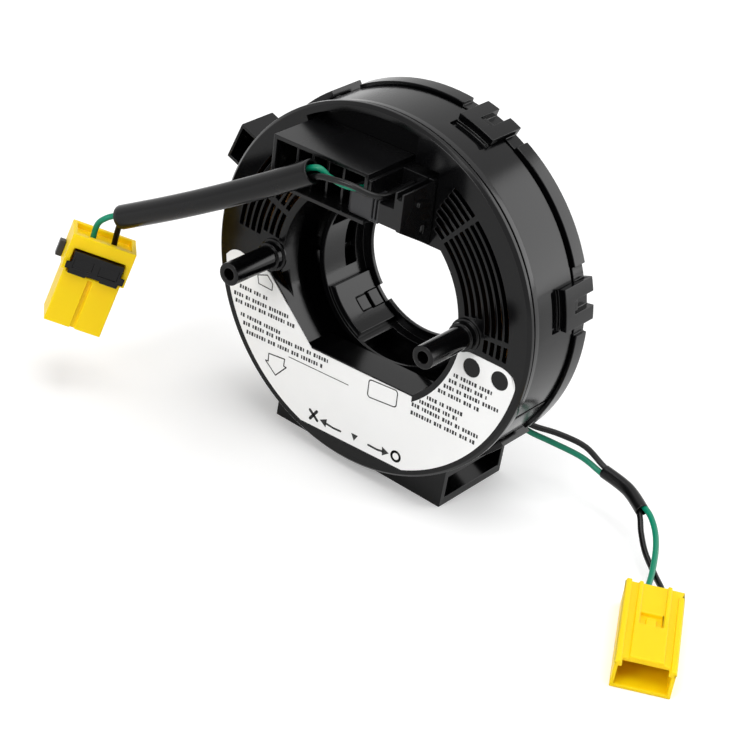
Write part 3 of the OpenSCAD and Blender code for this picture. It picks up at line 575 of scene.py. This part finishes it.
def line(shape, points, width_mm):
    for a, b in zip(points, points[1:]):
        strip(shape, a, b, width_mm)
        disc(shape, *b, width_mm / 2)
    disc(shape, *points[0], width_mm / 2)


def arc(right_mm, up_mm, radius_mm, start, end):
    steps = round(abs(end - start) / 15)
    turns = [math.radians(start + (end - start) * k / steps) for k in range(steps + 1)]
    return [(right_mm + radius_mm * math.cos(a), up_mm + radius_mm * math.sin(a)) for a in turns]


print("ink lies at", INK_HEIGHT, "mm")

# %% Lay the ink on the label
def print_marks(name, shape, material):
    for vert in shape.verts:
        vert.co = on_rotor(vert.co.x, vert.co.y, INK_HEIGHT)
    bmesh.ops.recalc_face_normals(shape, faces=shape.faces)
    for face in shape.faces:
        if face.normal.y > 0:
            face.normal_flip()
    mesh = bpy.data.meshes.new(name)
    shape.to_mesh(mesh)
    shape.free()
    mesh.materials.append(material)
    piece = add_object(name, mesh)
    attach(piece, "rotor")
    print(name, len(mesh.polygons), "faces")


# %% The bold marks
box_outline = (arc(12.3, -23.8, 0.9, 90, 0) + arc(12.3, -26.9, 0.9, 0, -90)
               + arc(4.8, -27.5, 0.9, -90, -180) + arc(4.8, -24.2, 0.9, 180, 90))
strokes = [
    # The cross and the ring at the two ends of the turning mark, and the shafts between.
    (0.85, [(-13.8, -40.3), (-11.1, -42.5)]),
    (0.85, [(-13.5, -42.8), (-11.5, -39.9)]),
    (0.7, arc(15.1, -41.5, 1.35, 0, 360)),
    (0.6, [(-8.3, -42), (-5.6, -42.3), (-3.2, -42.2)]),
    (0.6, [(6.1, -42.1), (9, -42.2), (11, -41.9)]),
    # The empty box, the ruled line, the broad pointer and the small outlined shape.
    (0.32, box_outline + box_outline[:1]),
    (0.24, [(-22.6, -28.1), (-2.5, -27.9)]),
    (0.34, [(-29.3, -29.9), (-23.9, -29.4), (-24, -31.5), (-23.1, -31.6), (-26.4, -35.3),
            (-30.2, -32.3), (-29.3, -32.2), (-29.3, -29.9)]),
    (0.3, [(-35.6, -9), (-32.4, -7.8), (-30.4, -9.6), (-30.4, -11.5), (-35, -11.3),
           (-35.6, -9)]),
]
# Three triangles: an arrowhead to the left, the middle mark, and an arrowhead to the right.
triangles = [(-8.8, -41.9, 1.5, 86), (1.4, -41.7, 1.3, 180), (11.4, -41.8, 1.5, -84)]

bold = bmesh.new()
for width_mm, points in strokes:
    line(bold, points, width_mm)
for right_mm, up_mm, radius_mm, turn in triangles:
    disc(bold, right_mm, up_mm, radius_mm, corners=3, turn=turn)
print_marks("label_bold_marks", bold, label_ink)

# %% [markdown]
# ## The rows of blocks
# Lines of small print are drawn as rows of plain blocks, as wide as letters are, with a gap
# where one word would end. They say nothing. The word lengths come from a short fixed rhythm,
# so that no row looks copied.

# %% The plain blocks
ROWS = [((-41.2, -14.4), (-30.8, -14.5)), ((-42.9, -17), (-23, -16.8)),
        ((-42.2, -19), (-21.7, -18.7)), ((-40, -22.3), (-25.8, -22.5)),
        ((-38.9, -24.5), (-9.7, -24)), ((-37.5, -26.7), (-10.9, -26.2)),
        ((29.2, -11.1), (41.5, -11.3)), ((28, -13.1), (40.1, -13.2)),
        ((26.7, -15.2), (44.2, -15.2)), ((25.2, -17.2), (38.6, -17.4)),
        ((22.2, -20.7), (33.9, -20.8)), ((20.1, -22.7), (32.6, -22.7)),
        ((17.9, -24.5), (40.2, -24.9)), ((17.9, -26.9), (38.7, -26.9))]
WORD_LENGTHS = [5, 3, 7, 4, 2, 6, 8, 3]
BLOCK_WIDTHS, BLOCK_HEIGHTS = (0.62, 0.5, 0.7, 0.42), (1.15, 1.0)
BLOCK_GAP, WORD_GAP, SHORTEST = 0.3, 0.6, 0.5

blocks = bmesh.new()
block, word = 0, 0
for start, end in ROWS:
    a, b = Vector(start), Vector(end)
    along, done = (b - a).normalized(), 0.0
    while done < (b - a).length - SHORTEST:
        for _ in range(WORD_LENGTHS[word % len(WORD_LENGTHS)]):
            wide = BLOCK_WIDTHS[block % len(BLOCK_WIDTHS)]
            if done + wide > (b - a).length:
                break
            strip(blocks, a + along * done, a + along * (done + wide),
                  BLOCK_HEIGHTS[block % len(BLOCK_HEIGHTS)])
            done += wide + BLOCK_GAP
            block += 1
        done += WORD_GAP
        word += 1
print_marks("label_plain_blocks", blocks, label_ink)

# %% [markdown]
# ## Floor, light and background
# The photograph is a product shot: white ground, a soft shadow under the foot, and large soft
# lamps that draw long bright streaks on the black drum. The floor is white. Rays from the
# camera, and rays mirrored in the plastic, also meet a little light of its own. It grows with
# the distance, where the lamps reach the floor less, so that the floor stays white without
# more light on the part.

# %% Which rays see the white room
def seen_rays(tree):
    rays = add(tree, "ShaderNodeLightPath")
    direct = add(tree, "ShaderNodeMath", {"operation": "MAXIMUM"},
                 {0: rays.outputs["Is Camera Ray"], 1: rays.outputs["Is Glossy Ray"]})
    seen = add(tree, "ShaderNodeMath", {"operation": "MAXIMUM"},
               {0: direct.outputs["Value"], 1: rays.outputs["Is Transmission Ray"]})
    return seen.outputs["Value"]


print("camera, mirrored and passing rays see the room white")

# %% White paper for the floor
paper, tree = empty_material("white_paper")
matt = add(tree, "ShaderNodeBsdfDiffuse", {"Color": linear("#F4F4F4")})
where = add(tree, "ShaderNodeTexCoord")
distance = add(tree, "ShaderNodeVectorMath", {"operation": "LENGTH"},
               {0: where.outputs["Object"]})
amount = add(tree, "ShaderNodeMapRange",
             {"From Min": 0.2, "From Max": 1.2, "To Min": 0.2, "To Max": 0.8},
             {"Value": distance.outputs["Value"]})
glow = add(tree, "ShaderNodeEmission", {"Color": linear("#FFFFFF")},
           {"Strength": amount.outputs["Result"]})
both = add(tree, "ShaderNodeAddShader", {}, {0: matt.outputs["BSDF"], 1: glow.outputs["Emission"]})
seen = add(tree, "ShaderNodeMixShader", {}, {0: seen_rays(tree), 1: matt.outputs["BSDF"],
                                             2: both.outputs["Shader"]})
add(tree, "ShaderNodeOutputMaterial", {}, {"Surface": seen.outputs["Shader"]})
print("the paper has", len(tree.nodes), "nodes")

# %% Floor
FLOOR_REACH = 3  # metres from the middle to each side

ground = bmesh.new()
bmesh.ops.create_grid(ground, x_segments=1, y_segments=1, size=FLOOR_REACH)
bmesh.ops.translate(ground, vec=(0, 0, GROUND), verts=ground.verts)
ground_mesh = bpy.data.meshes.new("floor")
ground.to_mesh(ground_mesh)
ground.free()
ground_mesh.materials.append(paper)
floor = add_object("floor", ground_mesh)
print("floor at", GROUND)

# %% World
ROOM_LIGHT, WHITE = 0.3, 1.0

world = bpy.data.worlds.new("studio")
world.use_nodes = True
bpy.context.scene.world = world
tree = world.node_tree
tree.nodes.clear()
room = add(tree, "ShaderNodeBackground", {"Color": linear("#FFFFFF"), "Strength": ROOM_LIGHT})
sky = add(tree, "ShaderNodeBackground", {"Color": linear("#FFFFFF"), "Strength": WHITE})
seen = add(tree, "ShaderNodeMixShader", {}, {0: seen_rays(tree), 1: room.outputs["Background"],
                                             2: sky.outputs["Background"]})
add(tree, "ShaderNodeOutputWorld", {}, {"Surface": seen.outputs["Shader"]})
print("room light", ROOM_LIGHT, "of white")

# %% [markdown]
# ## The lamps
# Three soft boxes light the part: a large one above, which keeps the shadow soft, one in
# front for the label, and a very large one behind on the right. The drum mirrors that one, as
# the long streak on its wall.

# %% Lamps
def softbox(name, place, side, power):
    data = bpy.data.lights.new(name, "AREA")
    data.shape = "RECTANGLE"
    data.size = data.size_y = side
    data.energy = power
    lamp = add_object(name, data)
    lamp.location = place
    lamp.rotation_euler = (-Vector(place)).to_track_quat("-Z", "Y").to_euler()


softbox("top", (0.1, -0.1, 0.9), side=0.8, power=6.0)
softbox("front", (-0.1, -1.1, 0.6), side=0.5, power=5.8)
softbox("back_right", (0.66, 0.9, 0.42), side=0.9, power=7.5)

# %% [markdown]
# ## The end
# The dressed part stays in the CAD box.

# %% Finish
bpy.context.view_layer.update()
